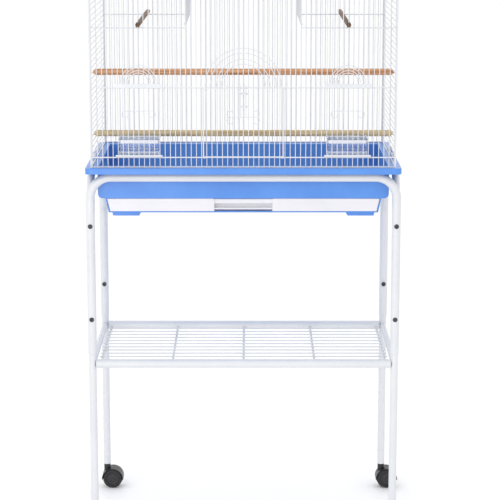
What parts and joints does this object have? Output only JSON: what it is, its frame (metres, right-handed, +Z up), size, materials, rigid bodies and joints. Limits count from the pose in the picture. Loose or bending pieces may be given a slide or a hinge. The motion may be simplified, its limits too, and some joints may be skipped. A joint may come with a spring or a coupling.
{
  "type": "bird cage on stand",
  "caption": "Rectangular wire bird cage with a deep plastic base and litter drawer, on a tubular steel stand with a wire shelf and swivel casters.",
  "frame": {"origin": "on the floor, under the middle of the cage", "axes": "+Z up, +X to the right seen from the door side, -Y towards the door side"},
  "size_m": [0.851, 0.481, 1.4535],
  "materials": {
    "white_wire": "semi-gloss white coating on steel wire",
    "white_tube": "white powder coat with a faint orange-peel",
    "blue_plastic": "satin moulded plastic",
    "white_plastic": "satin moulded plastic",
    "frosted_plastic": "milky translucent plastic",
    "steel_wire": "zinc plated",
    "red_wood": "stained dowel",
    "tan_wood": "plain dowel",
    "dark_wood": "dark stained dowel",
    "dark_steel": "blackened steel",
    "black_plastic": "fine-textured moulded nylon"
  },
  "bodies": {
    "root": {"base_tray": "blue_plastic", "cage_clips": "steel_wire", "caster_sockets": "white_plastic", "corner_posts": "white_wire", "fan_ornaments": "white_wire", "floor_grille": "white_wire", "front_arch": "white_tube", "front_bars": "white_wire", "front_left_lower_leg": "white_tube", "front_rails": "white_wire", "front_right_lower_leg": "white_tube", "left_brace": "white_tube", "left_short_perch": "dark_wood", "left_upper_partition": "white_wire", "left_wall": "white_wire", "leg_bolts": "dark_steel", "leg_nuts": "dark_steel", "lower_perch": "tan_wood", "rear_arch": "white_tube", "rear_bars": "white_wire", "rear_left_lower_leg": "white_tube", "rear_rails": "white_wire", "rear_right_lower_leg": "white_tube", "right_brace": "white_tube", "right_short_perch": "dark_wood", "right_upper_partition": "white_wire", "right_wall": "white_wire", "roof": "white_wire", "shelf_cross_rods": "white_wire", "shelf_frame": "white_tube", "shelf_long_wires": "white_wire", "upper_perch": "red_wood"},
    "drawer": {"litter_drawer": "white_plastic"},
    "main_door": {"main_door": "white_wire"},
    "door_latch": {"door_latch": "white_wire"},
    "left_feeder_door": {"left_feeder_door": "white_wire"},
    "left_feeder": {"left_feeder_cup": "frosted_plastic"},
    "right_feeder_door": {"right_feeder_door": "white_wire"},
    "right_feeder": {"right_feeder_cup": "frosted_plastic"},
    "front_left_caster": {"front_left_caster_housing": "black_plastic", "front_left_caster_axle": "steel_wire"},
    "front_left_wheels": {"front_left_caster_wheels": "black_plastic"},
    "front_right_caster": {"front_right_caster_housing": "black_plastic", "front_right_caster_axle": "steel_wire"},
    "front_right_wheels": {"front_right_caster_wheels": "black_plastic"},
    "rear_left_caster": {"rear_left_caster_housing": "black_plastic", "rear_left_caster_axle": "steel_wire"},
    "rear_left_wheels": {"rear_left_caster_wheels": "black_plastic"},
    "rear_right_caster": {"rear_right_caster_housing": "black_plastic", "rear_right_caster_axle": "steel_wire"},
    "rear_right_wheels": {"rear_right_caster_wheels": "black_plastic"}
  },
  "joints": [
    {"name": "drawer_slide", "type": "slide", "parent": "root", "child": "drawer", "axis": [0, -1, 0], "range_m": [0, 0.33]},
    {"name": "main_door_hinge", "type": "hinge", "parent": "root", "child": "main_door", "pos_m": [0, -0.23113, 0.992], "axis": [1, 0, 0], "range_deg": [0, 105]},
    {"name": "latch_lift", "type": "slide", "parent": "main_door", "child": "door_latch", "axis": [0, 0, 1], "range_m": [0, 0.008]},
    {"name": "left_feeder_door_lift", "type": "slide", "parent": "root", "child": "left_feeder_door", "axis": [0, 0, 1], "range_m": [0, 0.11]},
    {"name": "left_feeder_lift_off", "type": "slide", "parent": "root", "child": "left_feeder", "axis": [0, 0, 1], "range_m": [0, 0.03]},
    {"name": "right_feeder_door_lift", "type": "slide", "parent": "root", "child": "right_feeder_door", "axis": [0, 0, 1], "range_m": [0, 0.11]},
    {"name": "right_feeder_lift_off", "type": "slide", "parent": "root", "child": "right_feeder", "axis": [0, 0, 1], "range_m": [0, 0.03]},
    {"name": "front_left_caster_swivel", "type": "hinge", "parent": "root", "child": "front_left_caster", "pos_m": [-0.381, -0.2125, 0.07], "axis": [0, 0, 1], "continuous": true},
    {"name": "front_left_wheel_spin", "type": "hinge", "parent": "front_left_caster", "child": "front_left_wheels", "pos_m": [-0.396, -0.2125, 0.026], "axis": [0, 1, 0], "continuous": true},
    {"name": "front_right_caster_swivel", "type": "hinge", "parent": "root", "child": "front_right_caster", "pos_m": [0.381, -0.2125, 0.07], "axis": [0, 0, 1], "continuous": true},
    {"name": "front_right_wheel_spin", "type": "hinge", "parent": "front_right_caster", "child": "front_right_wheels", "pos_m": [0.366, -0.2125, 0.026], "axis": [0, 1, 0], "continuous": true},
    {"name": "rear_left_caster_swivel", "type": "hinge", "parent": "root", "child": "rear_left_caster", "pos_m": [-0.381, 0.2125, 0.07], "axis": [0, 0, 1], "continuous": true},
    {"name": "rear_left_wheel_spin", "type": "hinge", "parent": "rear_left_caster", "child": "rear_left_wheels", "pos_m": [-0.366, 0.2125, 0.026], "axis": [0, 1, 0], "continuous": true},
    {"name": "rear_right_caster_swivel", "type": "hinge", "parent": "root", "child": "rear_right_caster", "pos_m": [0.381, 0.2125, 0.07], "axis": [0, 0, 1], "continuous": true},
    {"name": "rear_right_wheel_spin", "type": "hinge", "parent": "rear_right_caster", "child": "rear_right_wheels", "pos_m": [0.396, 0.2125, 0.026], "axis": [0, 1, 0], "continuous": true}
  ]
}
